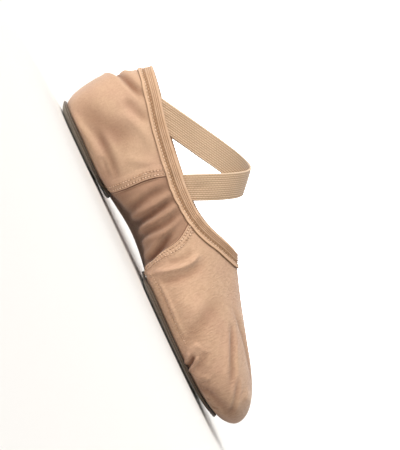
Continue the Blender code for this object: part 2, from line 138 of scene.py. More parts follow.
def chains(work, low, high):  # the lines of edges that bend by low to high degrees
    linked = {}
    for edge in work.edges:
        if low < math.degrees(edge.calc_face_angle()) < high:
            for corner in edge.verts:
                linked.setdefault(corner, []).append(edge)
    forks = [corner for corner, edges in linked.items() if len(edges) != 2]
    used, found = set(), []
    for start in forks + list(linked):
        for edge in linked[start]:
            path = [start]
            while edge and edge not in used:
                used.add(edge)
                path.append(edge.other_vert(path[-1]))
                onward = [other for other in linked[path[-1]] if other not in used]
                edge = onward[0] if onward and len(linked[path[-1]]) == 2 else None
            if len(path) > 1:
                found.append(np.array([corner.co for corner in path]))
    return found


def treeOf(work, faces):
    work.verts.index_update()
    return BVHTree.FromPolygons(
        [corner.co.copy() for corner in work.verts],
        [[corner.index for corner in face.verts] for face in faces])


def feet(points, line):  # for each point, the nearest place on a dense line
    gaps = ((points[:, None] - line[None])**2).sum(2)
    return line[gaps.argmin(1)]


# Colour and material

def toLinear(code):  # sRGB hex as linear red, green and blue, with alpha
    parts = [int(code[step:step + 2], 16) / 255 for step in (0, 2, 4)]
    return (*(c / 12.92 if c <= 0.04045 else ((c + 0.055) / 1.055) ** 2.4 for c in parts), 1)


def newMaterial(name, colour, roughness, sheen=0.0):
    made = bpy.data.materials.new(name)
    made.use_nodes = True
    shader = made.node_tree.nodes["Principled BSDF"]
    shader.inputs["Base Color"].default_value = toLinear(colour)
    shader.inputs["Roughness"].default_value = roughness
    shader.inputs["Metallic"].default_value = 0
    shader.inputs["IOR"].default_value = 1.5
    shader.inputs["Sheen Weight"].default_value = sheen
    shader.inputs["Sheen Roughness"].default_value = 0.5
    return made, made.node_tree, shader


def addNode(tree, kind, values, out=0):  # values are settings, and inputs with a number or a socket
    node = tree.nodes.new("ShaderNode" + kind)
    for name, value in values.items():
        if isinstance(value, bpy.types.NodeSocket):
            tree.links.new(value, node.inputs[name])
        elif isinstance(name, str) and hasattr(node, name):
            setattr(node, name, value)
        else:
            node.inputs[name].default_value = value
    return node.outputs[out]


def mottle(tree, place, size, detail, low, high):  # soft patches of a size, low..high made 0..1
    cloud = addNode(tree, "TexNoise", {"Scale": 1 / size, "Detail": detail, "Vector": place}, "Fac")
    return addNode(tree, "MapRange", {"From Min": low, "From Max": high, "Value": cloud})


def window(tree, source, low, high, soft):  # 1 between low and high, with soft ends
    rising = addNode(tree, "MapRange", {"From Min": low - soft, "From Max": low + soft, "Value": source})
    falling = addNode(tree, "MapRange", {"From Min": high + soft, "From Max": high - soft, "Value": source})
    return addNode(tree, "Math", {"operation": "MULTIPLY", 0: rising, 1: falling})


def bands(pitch):  # the scale at which a wave texture has its lines a pitch apart
    return math.pi / 10 / pitch


def plainWeave(tree, cloth, pitch, waver):  # warp and weft, whichever is on top
    wavy = {"Scale": bands(pitch), "Distortion": waver, "Vector": cloth}
    warp = addNode(tree, "TexWave", {"bands_direction": "X", **wavy}, "Fac")
    weft = addNode(tree, "TexWave", {"bands_direction": "Y", **wavy}, "Fac")
    return addNode(tree, "Math", {"operation": "MAXIMUM", 0: warp, 1: weft})


def finishMaterial(tree, shader, colour, layers, heights):
    # layers are (blend, where, strength, colour) over the first colour, heights (where, depth)
    tone = toLinear(colour)
    for blend, where, strength, above in layers:
        amount = addNode(tree, "Math", {"operation": "MULTIPLY", 0: where, 1: strength})
        tone = addNode(tree, "Mix", {
            "data_type": "RGBA", "blend_type": blend, 0: amount, 6: tone, 7: toLinear(above)}, 2)
    tree.links.new(tone, shader.inputs["Base Color"])
    below = {}
    for where, depth in heights:
        normal = addNode(tree, "Bump", {"Strength": 1.0, "Distance": depth, "Height": where, **below})
        below = {"Normal": normal}
    tree.links.new(normal, shader.inputs["Normal"])


canvas = {
    "colour": "CAA789",
    "pinker": "C69F85",
    "toeShade": "9C8876",      # painted shade, grey-brown, low on the toe beside the sole
    "speck": "B9A090",
    "crepeFurrowShade": "B8A08F",
    "foldShade": "AE9685",
    "stitchHoleShade": "93745F",
    "underEdge": "86654F",
    # the arch panel: a browner stretch cloth, made darker still as painted shade of the gathered arch
    "arch": "A68268",
    "archPinker": "9D775F",
    "lining": "B5957A",
    "liningShade": "A58468",
    "liningNap": 1.3 * mm,
    "crepe": 1.0 * mm,       # width of the short furrows that run round the shoe
    "crepeLength": 3.2,      # their length in widths
    "crepeDepth": 0.11 * mm,
    "thread": 0.62 * mm,     # drawn about twice as coarse as the real yarn, to show
    "threadDepth": 0.08 * mm,
    "pucker": 2.0 * mm,      # along a seam, from stitch to stitch
    "slack": 0.28 * mm,      # how far the cloth wanders off the last
    "slackSize": 24 * mm,
    "slackFine": 8 * mm,     # a second, finer wander
    "slackFineShare": 0.35,
}


def canvasMaterial(name, colour, pinker, crepe):
    # Dyed cotton canvas with some stretch: matt, a soft sheen, and fine crepe lines
    made, tree, shader = newMaterial(name, colour, 0.82, sheen=0.2)
    cloth = addNode(tree, "UVMap", {"uv_map": "cloth"})
    place = addNode(tree, "TexCoord", {}, "Object")
    along = addNode(tree, "SeparateXYZ", {"Vector": place}, "Y")
    high = along.node.outputs["Z"]
    fold, across, run = (addNode(tree, "Attribute", {"attribute_name": kept}, "Fac")
                         for kept in ("fold", "hemAcross", "hemRun"))
    # Crepe lines in patches, fewer on the heel
    drawn = addNode(tree, "Mapping", {"Scale": (1, 1 / canvas["crepeLength"], 1), "Vector": cloth})
    crepeLines = mottle(tree, drawn, canvas["crepe"], 2, 0.36, 0.62)
    vamp = addNode(tree, "MapRange", {
        "From Min": heelBack + 20 * mm, "From Max": heelBack + 140 * mm, "Value": along})
    vamp = addNode(tree, "Math", {"operation": "MAXIMUM", 0: vamp, 1: 0.35})
    fade = mottle(tree, place, 15 * mm, 2, 0.1, 0.5)
    fade = addNode(tree, "Math", {"operation": "MULTIPLY", 0: fade, 1: vamp})
    crepeHeight = addNode(tree, "Math", {"operation": "MULTIPLY", 0: crepeLines, 1: fade})
    # painted shade in the furrows between the crepe lines
    crepeFurrowShade = addNode(tree, "Math", {"operation": "SUBTRACT", 0: 1.0, 1: crepeLines})
    crepeFurrowShade = addNode(tree, "Math", {"operation": "MULTIPLY", 0: crepeFurrowShade, 1: fade})
    # painted shade in the troughs of the folds, darker where they are deeper
    foldShade = addNode(tree, "MapRange", {"From Min": 0.1, "From Max": -2.4, "Value": fold})
    # Painted shade low on the toe, beside the sole, broken up in soft patches
    toeward = addNode(tree, "MapRange", {
        "From Min": heelBack + 190 * mm, "From Max": heelBack + 222 * mm, "Value": along})
    low = addNode(tree, "MapRange", {"From Min": 26 * mm, "From Max": 7 * mm, "Value": high})
    toeShadeMask = addNode(tree, "Math", {"operation": "MULTIPLY", 0: toeward, 1: low})
    toeShadeBreakup = mottle(tree, place, 9 * mm, 4, 0.2, 0.6)
    toeShadeMask = addNode(tree, "Math", {"operation": "MULTIPLY", 0: toeShadeMask, 1: toeShadeBreakup})
    # Beside a seam: the shadow under the folded edge, the stitched rows, and their puckers
    turns = addNode(tree, "Math", {"operation": "MULTIPLY", 0: run, 1: 2 * math.pi / canvas["pucker"]})
    ripple = addNode(tree, "Math", {"operation": "SINE", 0: turns})
    ripple = addNode(tree, "MapRange", {"From Min": -1.0, "From Max": 1.0, "Value": ripple})
    stitched = addNode(tree, "Math", {"operation": "MAXIMUM", 0: window(tree, across, 1.1, 1.9, 0.3),
                                      1: window(tree, across, 3.7, 4.5, 0.3)})
    # painted shade in the needle holes between the stitches
    holes = addNode(tree, "MapRange", {"From Min": 0.6, "From Max": 0.1, "Value": ripple})
    holes = addNode(tree, "Math", {"operation": "MULTIPLY", 0: stitched, 1: holes})
    under = window(tree, across, -0.75, 0.1, 0.3)
    puckers = addNode(tree, "Math", {"operation": "MULTIPLY", 0: ripple,
                                     1: window(tree, across, 0.7, 5.4, 0.6)})
    pulledDown = addNode(tree, "Math", {"operation": "SUBTRACT", 0: 1.0, 1: stitched})
    uneven = addNode(tree, "TexNoise", {"Scale": 1 / (5 * mm), "Detail": 3, "Vector": place}, "Fac")
    weave = plainWeave(tree, cloth, canvas["thread"], 0.6)
    finishMaterial(tree, shader, colour, [
        ("MIX", mottle(tree, place, 22 * mm, 3, 0.38, 0.72), 1.0, pinker),
        ("MULTIPLY", mottle(tree, place, 1.1 * mm, 3, 0.75, 0.2), 0.22, canvas["speck"]),
        ("MULTIPLY", crepeFurrowShade, 0.26 * crepe, canvas["crepeFurrowShade"]),
        ("MULTIPLY", foldShade, 1.0, canvas["foldShade"]),
        ("MULTIPLY", toeShadeMask, 0.65, canvas["toeShade"]),
        ("MULTIPLY", holes, 0.75, canvas["stitchHoleShade"]),
        ("MULTIPLY", under, 0.85, canvas["underEdge"]),
    ], [
        (uneven, 0.16 * mm),
        (puckers, 0.22 * mm),
        (pulledDown, 0.2 * mm),
        (crepeHeight, canvas["crepeDepth"] * crepe),
        (weave, canvas["threadDepth"]),
    ])
    return made


def liningMaterial():
    # Brushed cotton drill behind the canvas: paler nap, no crepe
    made, tree, shader = newMaterial("brushed cotton lining", canvas["lining"], 0.92, sheen=0.3)
    place = addNode(tree, "TexCoord", {}, "Object")
    nap = addNode(tree, "TexNoise", {"Scale": 1 / canvas["liningNap"], "Detail": 4, "Vector": place}, "Fac")
    shaded = addNode(tree, "MapRange", {"From Min": 0.3, "From Max": 0.75, "Value": nap})
    finishMaterial(tree, shader, canvas["lining"], [("MIX", shaded, 1.0, canvas["liningShade"])],
                   [(nap, 0.12 * mm)])
    return made


# Canvas upper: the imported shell, with its panels told apart and its folds put in

def sideGroups(work):  # faces that meet more gently than a wall's edge, outermost group first
    groups, seen = [], set()
    for seed in work.faces:
        if seed in seen:
            continue
        seen.add(seed)
        group = [seed]
        for face in group:
            for edge in face.edges:
                if edge.calc_face_angle() < math.radians(65):
                    fresh = [other for other in edge.link_faces if other not in seen]
                    seen.update(fresh)
                    group.extend(fresh)
        groups.append(group)
    return sorted(groups, key=lambda group: -max(abs(face.calc_center_median().x) for face in group))


upper = nodeCopy("upper", "canvas_upper")
lining = addPiece("canvas_lining", upper.data.copy())
shape = bmesh.new()
shape.from_mesh(upper.data)
wallGroups = sideGroups(shape)
outsideFaces = {face.index for face in wallGroups[0]}
insideFaces = {face.index for face in wallGroups[1]}
lastTree = treeOf(shape, wallGroups[0])
shape.free()


def seenFrom(view, first, second):  # where a look from outside meets the canvas
    if view in ("inner", "outer"):
        way = Vector((-1 if view == "inner" else 1, 0, 0))
        aim = Vector((0, heelBack + first * mm, second * mm))
    elif view == "back":  # first is degrees round from straight behind to the inner side
        turn = math.radians(first)
        way = Vector((-math.sin(turn), math.cos(turn), 0))
        aim = Vector((0, heelBack + 35 * mm, second * mm))
    elif view == "toe":  # first is degrees round from straight ahead to the inner side
        turn = math.radians(first)
        way = Vector((-math.sin(turn), -math.cos(turn), 0))
        aim = Vector((2 * mm, heelBack + 195 * mm, second * mm))
    else:  # from above, first is x
        way = Vector((0, 0, -1))
        aim = Vector((first * mm, heelBack + second * mm, 0))
    place, normal, _, _ = lastTree.ray_cast(aim - way * 0.3, way)
    if place is None or normal.dot(way) > 0:
        raise ValueError(f"nothing to meet from {view} at {first}, {second}")
    return place, normal


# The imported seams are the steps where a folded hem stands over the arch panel. Each chain
# runs down one edge of the step and up the other.
packedUpper = merged("upper")
seamLines = {}
for line in chains(packedUpper, 36, 62):
    if len(line) > 15:
        end = "rear" if line[:, 1].mean() < heelBack + 95 * mm else "front"
        side = "Inner" if line[:, 0].mean() > 0 else "Outer"
        turn = int(line[:, 2].argmin())
        edges = sorted((line[:turn + 1][::-1], line[turn:]), key=lambda edge: edge[:, 1].mean())
        seamLines[end + side] = edges[1 if end == "rear" else 0]
packedUpper.free()
for name, line in seamLines.items():
    print("seam", name, len(line), "corners, z", *(round(float(z) / mm, 1) for z in line[[0, -1], 2]))


def seamAt(name, height):
    line = seamLines[name]
    return float(np.interp(height, line[:, 2], line[:, 1]))


def onArch(centre):
    side = "Inner" if centre.x > 0 else "Outer"
    return seamAt("rear" + side, centre.z) < centre.y < seamAt("front" + side, centre.z)


def keepFaces(piece, chosen, number):  # number gives a kept face its material
    work = bmesh.new()
    work.from_mesh(piece.data)
    for face in work.faces:
        face.material_index = number(face)
    spare = [face for face in work.faces if face.index not in chosen]
    bmesh.ops.delete(work, geom=spare, context="FACES")
    work.to_mesh(piece.data)
    work.free()


everyFace = set(range(len(lining.data.polygons)))
keepFaces(upper, outsideFaces, lambda face: int(onArch(face.calc_center_median())))
keepFaces(lining, everyFace - outsideFaces, lambda face: int(face.index not in insideFaces))
dyed = canvasMaterial("dyed stretch canvas", canvas["colour"], canvas["pinker"], 1.0)
# the arch's canvas: a browner cloth, darkened further as painted shade
archDyedAndShaded = canvasMaterial("stretch canvas of the arch", canvas["arch"], canvas["archPinker"], 0.3)
upper.data.materials.append(dyed)
upper.data.materials.append(archDyedAndShaded)
lining.data.materials.append(liningMaterial())
lining.data.materials.append(dyed)

patchRow = {  # the stitched row beside the front patch, from the heel and up in mm
    "inner": [(129, 8.6), (142, 9.6), (153, 9.6), (164, 9.2), (177, 9.8)],
    "outer": [(129, 8.6), (142, 9.4), (153, 9.6), (164, 9.2), (177, 9.6)],
}
folds = []


# A fold is a line on the shoe. deep is in mm, and below zero it is a ridge. ridge is the
# share of the depth that stands up beside a trough, and lean puts it on one side alone.
def crease(view, deep, wide, *path, ridge=0, lean=0):
    folds.append({"view": view, "deep": deep, "wide": wide, "path": path, "ridge": ridge, "lean": lean})


# Heel, seen from the inner side
crease("back", 2.2, 3.0, (78, 53), (66, 52), (55, 50), (39, 47.5), (17, 44), (0, 42), (-17, 43.5),
       (-39, 47), (-55, 50), (-75, 52), ridge=0.35)
crease("back", -0.9, 7, (45, 37), (0, 34), (-45, 37))
crease("back", -0.3, 0.9, (0, 6), (0, 20), (0, 35), (0, 52))
crease("inner", 1.0, 3.2, (20, 40), (30, 44), (42, 48))
crease("inner", -1.6, 3.4, (25, 34), (38, 39.5), (46, 42), (58, 43))
crease("inner", 1.3, 8, (6, 13), (25, 18), (38, 27), (50, 36))
crease("inner", -1.5, 2.8, (10, 6.5), (22, 7.5), (34, 9), (46, 9), (58, 8))
crease("inner", 1.3, 2.8, (28, 15), (42, 16), (54, 16), (68, 14), ridge=0.3)
crease("inner", 0.9, 1.5, (47, 11.5), (55, 11), (64, 10))
crease("inner", -0.8, 3.2, (54, 24), (61, 32), (67, 41))
# Vamp, seen from the inner side
crease("inner", -2.0, 1.8, (126.5, 6), (130.5, 16.7), (133, 28), (132.5, 36), (129, 44))
crease("inner", 1.2, 3.0, (134, 8), (137, 17), (138.5, 27), (137.5, 36), (134, 45))
crease("inner", 0.8, 2.2, (126, 20), (128, 30), (126.5, 40))
crease("inner", -1.0, 1.6, (124.5, 4), (127, 6.5), (131, 8))
crease("inner", 0.6, 0.9, *patchRow["inner"])
crease("inner", -0.9, 1.2, (129, 10.6), (142, 11.6), (153, 11.6), (164, 11.2), (175, 11.8))
crease("inner", 1.0, 5.5, (180, 9), (173, 19), (167, 31), (160, 44))
crease("inner", -0.9, 6, (150, 15), (158, 22), (165, 28))
crease("inner", 2.4, 1.5, (192.5, 3), (189.5, 7.5), (185.5, 12), ridge=0.6)
crease("inner", -1.2, 2.6, (187, 7), (183, 13), (180.5, 18))
crease("inner", 0.9, 2.6, (195, 8), (192, 14), (187, 20))
crease("inner", -1.0, 2.2, (197, 5), (201, 10), (204.5, 15))
crease("inner", 1.3, 3.2, (203, 5), (211, 9), (220, 12.5), (229, 16), (234, 19))
crease("inner", 1.3, 2.6, (176, 42), (187, 38), (198, 33), (208, 28), (217, 22), ridge=0.3)
crease("inner", 0.8, 1.8, (210, 31), (219, 26), (227, 20), (232, 16), ridge=0.3)
crease("inner", -1.1, 4.0, (222, 28), (228, 30), (232, 28))
crease("top", 1.0, 2.6, (23, 165), (20, 180), (16, 195), (13, 210), (11, 222))
crease("top", 0.6, 1.8, (10, 186), (8, 200), (6, 214), (6, 224))
crease("top", -0.6, 3.0, (15, 170), (12, 190), (9, 208))
# The outer side, calmer, to the same habits
crease("outer", -1.0, 4.2, (24, 33), (38, 39), (54, 43))
crease("outer", 1.0, 7, (8, 14), (28, 20), (48, 33))
crease("outer", 1.0, 2.4, (36, 13), (50, 14), (64, 13), ridge=0.3)
crease("outer", -1.3, 2.0, (127, 6), (130, 15), (131, 26), (129, 38))
crease("outer", 0.9, 3.0, (133, 8), (136, 18), (136, 28), (133, 40))
crease("outer", 0.9, 4.0, (176, 9), (171, 17), (164, 27), (157, 36))
crease("outer", 1.2, 1.8, (204, 5), (201, 10), (198, 15), ridge=0.5)
crease("top", 0.5, 2.6, (-19, 165), (-20, 182), (-17, 200))

archFolds = [  # share of the way from the rear seam to the front one, at collar and at sole
    (0.09, 0.20, -0.6, 2.2, 0), (0.19, 0.30, 1.3, 2.6, 0.1), (0.33, 0.40, -1.6, 1.9, 0),
    (0.45, 0.50, 2.1, 2.3, 0.2), (0.56, 0.60, -1.5, 1.9, 0), (0.68, 0.69, 1.6, 2.2, 0.2),
    (0.79, 0.77, -1.2, 1.9, 0),
]
for side, view, strength in (("Inner", "inner", 1.0), ("Outer", "outer", 0.7)):
    for atCollar, atSole, deep, wide, ridge in archFolds:
        path = []
        for height in (45, 37, 29, 21, 13, 8):
            share = atSole + (atCollar - atSole) * (height - 13) / 31
            share += 0.012 * math.sin(height / 5 + atSole * 20)
            rear, front = seamAt("rear" + side, height * mm), seamAt("front" + side, height * mm)
            path.append(((rear + (front - rear) * share - heelBack) / mm, height))
        crease(view, deep * strength, wide, *path, ridge=ridge)
crease("inner", 2.5, 2.4, (108.5, 36), (113, 27), (116.5, 18), (119.5, 11), (121.5, 6.5), ridge=0.35, lean=1)
crease("outer", 1.8, 2.2, (110, 33), (114, 24), (117, 16), (119, 10), ridge=0.3)
for name in seamLines:  # the arch panel dips under each folded edge
    beside = 1.3 if name.startswith("rear") else -1.3
    heights = np.linspace(7, 42, 8)
    path = [((seamAt(name, height * mm) - heelBack) / mm + beside, height) for height in heights]
    crease("inner" if name.endswith("Inner") else "outer", 0.8, 1.3, *path)
pleats = {"count": 13, "from": -64, "to": 64, "deep": 0.55, "wide": 1.0}
for step in range(pleats["count"]):
    turn = pleats["from"] + (pleats["to"] - pleats["from"]) * step / (pleats["count"] - 1)
    reach = 9.5 + 1.5 * math.sin(step * 2.1)
    path = [(turn, 6.0), (turn * 1.01, 8.0), (turn * 1.02, reach)]
    crease("toe", pleats["deep"], pleats["wide"], *path, ridge=0.5)

for fold in folds:
    met = [seenFrom(fold["view"], *spot) for spot in fold["path"]]
    count = 12 * len(met)
    fold["places"] = evenly([place for place, _ in met], count)
    fold["outs"] = evenly([normal for _, normal in met], count)
    fold["outs"] /= np.linalg.norm(fold["outs"], axis=1)[:, None]
    fold["sides"] = np.cross(np.gradient(fold["places"], axis=0), fold["outs"])
    fold["sides"] /= np.linalg.norm(fold["sides"], axis=1)[:, None]
    ends = np.linspace(0, 1, count)
    fold["fades"] = smooth(ends / 0.3) * smooth((1 - ends) / 0.3)

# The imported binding's six sharp lines round the collar
packedBinding = merged("collar_binding")
loops = [line for line in chains(packedBinding, 60, 180) if len(line) > 40]
loops.sort(key=lambda line: -line[:, 2].mean())
packedBinding.free()
print("binding lines", [len(line) for line in loops])


def girth(line):  # how far out of the collar's middle a line runs
    return np.linalg.norm(line[:, :2] - loops[0][:, :2].mean(0), axis=1).mean()


insideTop, outsideTop = sorted(loops[:2], key=girth)
_, insideLow, outsideLow, _ = sorted(loops[2:], key=girth)
rimLine = (outsideTop + feet(outsideTop, evenly(insideTop, 2000))) / 2

holds = {"collar": 13 * mm, "soleFrom": 1.5 * mm, "soleTo": 6 * mm}  # where the folds fade out
throughWall = 7 * mm  # a fold moves nothing farther in or out than this


def dressed(points):  # the points moved with the cloth, and how deep in a fold each lies
    points = np.array(points, float)
    shift = np.zeros_like(points)
    depth = np.zeros(len(points))
    for fold in folds:
        wide = fold["wide"] * mm
        margin = 4 * wide + 2 * mm
        low, high = fold["places"].min(0) - margin, fold["places"].max(0) + margin
        near = np.nonzero(((points > low) & (points < high)).all(1))[0]
        for part in np.array_split(near, len(near) // 4000 + 1):
            gap = points[part][:, None] - fold["places"][None]
            out = (gap * fold["outs"][None]).sum(2)
            flat = (gap**2).sum(2) - out**2 + np.where(abs(out) > throughWall, 1.0, 0.0)
            best = flat.argmin(1)
            away = np.sqrt(np.maximum(flat[np.arange(len(part)), best], 0)) / wide
            ahead = (gap[np.arange(len(part)), best] * fold["sides"][best]).sum(1)
            beside = np.where(ahead * fold["lean"] < 0, 0.0, fold["ridge"])
            profile = np.exp(-away**2) - beside * np.exp(-((away - 1.8) / 0.8)**2)
            amount = -fold["deep"] * profile * fold["fades"][best]
            shift[part] += fold["outs"][best] * (amount * mm)[:, None]
            depth[part] += amount
    for at, point in enumerate(points):  # the cloth's own slow wander off the last
        spot = Vector(point)
        normal = lastTree.find_nearest(spot)[1]
        wander = noise.noise(spot / canvas["slackSize"])
        wander += canvas["slackFineShare"] * noise.noise(spot / canvas["slackFine"])
        shift[at] += np.array(normal) * (wander * canvas["slack"])
    rim = np.full(len(points), 1.0)
    for part in np.array_split(evenly(rimLine, 240), 12):
        rim = np.minimum(rim, ((points[:, None] - part[None])**2).sum(2).min(1))
    hold = smooth(np.sqrt(rim) / holds["collar"])
    hold *= smooth((points[:, 2] - holds["soleFrom"]) / (holds["soleTo"] - holds["soleFrom"]))
    return points + shift * hold[:, None], depth * hold


def addCloth(piece, middle):  # a UV map in metres: along the shoe, and round its girth
    data = piece.data
    layer = data.uv_layers.get("cloth") or data.uv_layers.new(name="cloth")
    points = pointsOf(piece)
    turns = np.arctan2(points[:, 0], points[:, 2] - middle)
    flat = np.empty((len(data.loops), 2))
    corners = np.empty(len(data.loops), int)
    data.loops.foreach_get("vertex_index", corners)
    flat[:, 0] = points[corners, 1]
    turn = turns[corners]
    for face in data.polygons:
        span = slice(face.loop_start, face.loop_start + face.loop_total)
        if turn[span].max() - turn[span].min() > math.pi:
            turn[span] = np.where(turn[span] < 0, turn[span] + 2 * math.pi, turn[span])
    flat[:, 1] = turn * 30 * mm
    layer.data.foreach_set("uv", flat.ravel())


def setValue(piece, name, values):
    layer = piece.data.attributes.new(name, "FLOAT", "POINT")
    layer.data.foreach_set("value", values.astype(np.float32))


def dress(piece):
    places, depth = dressed(pointsOf(piece))
    putPoints(piece, places)
    setValue(piece, "fold", depth)
    addCloth(piece, 25 * mm)


hem = {"beside": 6 * mm, "reach": 8 * mm, "margin": 9 * mm, "unset": 50.0, "edge": 0.42 * mm, "edgeIn": 0.45}


def seamGuide(name, count=300):  # a seam's folded edge: places, ways out and ways over its hem
    line = evenly(seamLines[name], count)
    outs = sum(np.array([lastTree.find_nearest(Vector(point))[1] for point in line + (0, step, 0)])
               for step in (-hem["beside"], hem["beside"]))  # the line lies on the hem's slanted step
    outs /= np.linalg.norm(outs, axis=1)[:, None]
    overs = np.cross(np.gradient(line, axis=0), outs)
    overs /= np.linalg.norm(overs, axis=1)[:, None]
    turned = -1 if name.startswith("rear") else 1
    return line, outs, overs * np.sign(overs[:, 1:2]) * turned


def setHems(piece):  # how far each corner lies over a seam's hem in mm, and along it in metres
    points = pointsOf(piece)
    across = np.where([onArch(Vector(point)) for point in points], -hem["unset"], hem["unset"])
    run = np.zeros(len(points))
    for name in seamLines:
        line, outs, overs = seamGuide(name)
        reached = np.cumsum(np.linalg.norm(np.gradient(line, axis=0), axis=1))
        low, high = line.min(0) - hem["margin"], line.max(0) + hem["margin"]
        near = np.nonzero(((points > low) & (points < high)).all(1))[0]
        for part in np.array_split(near, len(near) // 4000 + 1):
            gap = points[part][:, None] - line[None]
            best = (gap**2).sum(2).argmin(1)
            gap = gap[np.arange(len(part)), best]
            held = np.linalg.norm(gap, axis=1) < hem["reach"]
            across[part[held]] = ((gap * overs[best]).sum(1) / mm)[held]
            run[part[held]] = reached[best][held]
    setValue(piece, "hemAcross", across)
    setValue(piece, "hemRun", run)


refine(upper, 3)
refine(lining, 2)
for piece in (upper, lining):
    piece.data.shade_smooth()
    setHems(piece)
    dress(piece)
    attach(piece, "root")
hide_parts("upper")
print("canvas upper", len(upper.data.polygons), "faces, lining", len(lining.data.polygons))


def pieceTree(piece, chosen=lambda face: True):
    work = bmesh.new()
    work.from_mesh(piece.data)
    tree = treeOf(work, [face for face in work.faces if chosen(face)])
    work.free()
    return tree


clothTree = pieceTree(upper)
liningTree = pieceTree(lining, lambda face: face.material_index == 0)


# Collar binding: a strip folded over the edge, stitched below and ribbed above

binding = {
    "colour": "D2AF90",
    "flat": "D0AB8B",
    "duller": "C8A382",
    "shaded": "8F6A49",
    "step": 1.1 * mm,        # between finished rings
    # outside, as (drop below the rim, height off the canvas) in mm
    "outside": [(9.0, 0.45), (8.95, 1.0), (8.7, 1.3), (8.0, 1.35), (7.2, 1.3), (6.6, 1.2), (6.2, 0.85),
                (5.5, 0.6), (4.8, 0.65), (4.4, 1.05), (4.0, 1.45), (3.6, 1.45), (3.25, 0.8), (2.9, 1.45),
                (2.5, 1.45), (2.15, 0.8), (1.8, 1.45), (1.4, 1.5), (1.0, 0.85), (0.6, 1.45), (0.2, 1.6)],
    "roll": 9,               # points over the top
    "inside": [(0.5, 1.15), (2.0, 1.1), (4.2, 1.05), (6.4, 1.1), (8.2, 1.1), (8.5, 0.7)],
}


def loft(name, rows, lap, across=None):  # skins closed rows, in a lap or with ends capped
    count, around = rows.shape[:2]
    steps = np.linalg.norm(np.roll(rows.mean(1), -1, 0) - rows.mean(1), axis=1)
    along = np.concatenate([[0], np.cumsum(steps)])
    if across is None:
        steps = np.linalg.norm(np.roll(rows[0], -1, 0) - rows[0], axis=1)
        across = np.concatenate([[0], np.cumsum(steps)])
    faces, flat = [], []
    for at in range(count if lap else count - 1):
        for step in range(around):
            after, beside = (at + 1) % count, (step + 1) % around
            faces.append((at * around + step, after * around + step,
                          after * around + beside, at * around + beside))
            flat += [(along[at], across[step]), (along[at + 1], across[step]),
                     (along[at + 1], across[step + 1]), (along[at], across[step + 1])]
    if not lap:
        for at, steps in ((0, range(around)), (count - 1, range(around - 1, -1, -1))):
            faces.append(tuple(at * around + step for step in steps))
            flat += [(along[at], across[step]) for step in steps]
    mesh = meshOf(name, rows.reshape(-1, 3), faces)
    mesh.uv_layers.new(name="cloth").data.foreach_set("uv", np.array(flat).ravel())
    skin = bmesh.new()
    skin.from_mesh(mesh)
    bmesh.ops.recalc_face_normals(skin, faces=skin.faces)
    skin.to_mesh(mesh)
    skin.free()
    mesh.shade_smooth()
    return addPiece(name, mesh)


def snapped(points, tree, height):  # the points laid on a surface and lifted off it
    places = []
    for point in points:
        place, normal, _, _ = tree.find_nearest(Vector(point))
        places.append(place + normal * height)
    return np.array(places)


def threadMaterial(name, colour):
    # Spun cotton thread: slightly glossier than the cloth, with a twist
    made, tree, shader = newMaterial(name, colour, 0.6, sheen=0.1)
    place = addNode(tree, "TexCoord", {}, "Object")
    twist = addNode(tree, "TexNoise", {"Scale": 1 / (0.4 * mm), "Detail": 2, "Vector": place}, "Fac")
    finishMaterial(tree, shader, colour, [("MIX", mottle(tree, place, 2 * mm, 2, 0.3, 0.7), 1.0, "B8916F")],
                   [(twist, 0.05 * mm)])
    return made


def beadShape():  # a bead of radius 1, sorted, because Blender orders a new sphere's faces anew each run
    work = bmesh.new()
    bmesh.ops.create_uvsphere(work, u_segments=8, v_segments=6, radius=1.0)
    spots = [[tuple(round(part, 6) + 0.0 for part in corner.co) for corner in face.verts]
             for face in work.faces]
    work.free()
    corners = sorted({spot for face in spots for spot in face})
    faces = [[corners.index(spot) for spot in face] for face in spots]
    faces = [face[face.index(min(face)):] + face[:face.index(min(face))] for face in faces]
    return np.array(corners), sorted(faces)


def stitching(name, marks, size, material):  # marks are (place, way along, way out) of each stitch
    corners, beadFaces = beadShape()
    points, faces = [], []
    for place, along, out in marks:
        along, out = np.array(along), np.array(out)
        along = along / np.linalg.norm(along)
        side = np.cross(along, out)
        side /= np.linalg.norm(side)
        up = np.cross(side, along)
        offset = len(points) * len(corners)
        points.append(np.array(place) + corners[:, 2:] * along * size[0] * mm
                      + corners[:, 1:2] * side * size[1] * mm + corners[:, :1] * up * size[2] * mm)
        faces += [[at + offset for at in face] for face in beadFaces]
    piece = addPiece(name, meshOf(name, np.concatenate(points), faces))
    piece.data.shade_smooth()
    piece.data.materials.append(material)
    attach(piece, "root")
    return piece


# The guide: for each step round the rim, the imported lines' nearest places
stations = evenly(outsideTop[:-1], 2400, closed=True)
stations = paced(np.concatenate([stations, stations[:1]]), binding["step"])[:-1]
guide = {name: feet(stations, evenly(line[:-1], 4000, closed=True)) for name, line in (
    ("outsideLow", outsideLow), ("insideTop", insideTop), ("insideLow", insideLow))}
guide["outsideTop"] = stations
for name, line in guide.items():  # evens out the steps between nearest places
    for _ in range(4):
        line = (np.roll(line, 1, 0) + 2 * line + np.roll(line, -1, 0)) / 4
    guide[name] = line
hang = guide["outsideLow"] - guide["outsideTop"]
hang /= np.linalg.norm(hang, axis=1)[:, None]
sideways = guide["outsideTop"] - guide["insideTop"]
sideways /= np.linalg.norm(sideways, axis=1)[:, None]
wave = np.array([noise.noise(Vector(place) / (13 * mm)) for place in stations])


def bindingRow(face, drop, out):  # one line of the binding all round, in mm
    if face == "roll":
        middle = (guide["outsideTop"] + guide["insideTop"]) / 2
        return middle + (sideways * out + hang * drop) * mm
    drop = drop + wave * 0.5 * smooth((drop - 6) / 3)
    share = ((drop + 0.3) / (9.3 if face == "outside" else 8.8))[:, None]
    top, low = guide[face + "Top"], guide[face + "Low"]
    tree = clothTree if face == "outside" else liningTree
    return snapped(top + (low - top) * share, tree, (out - 0.15) * mm)


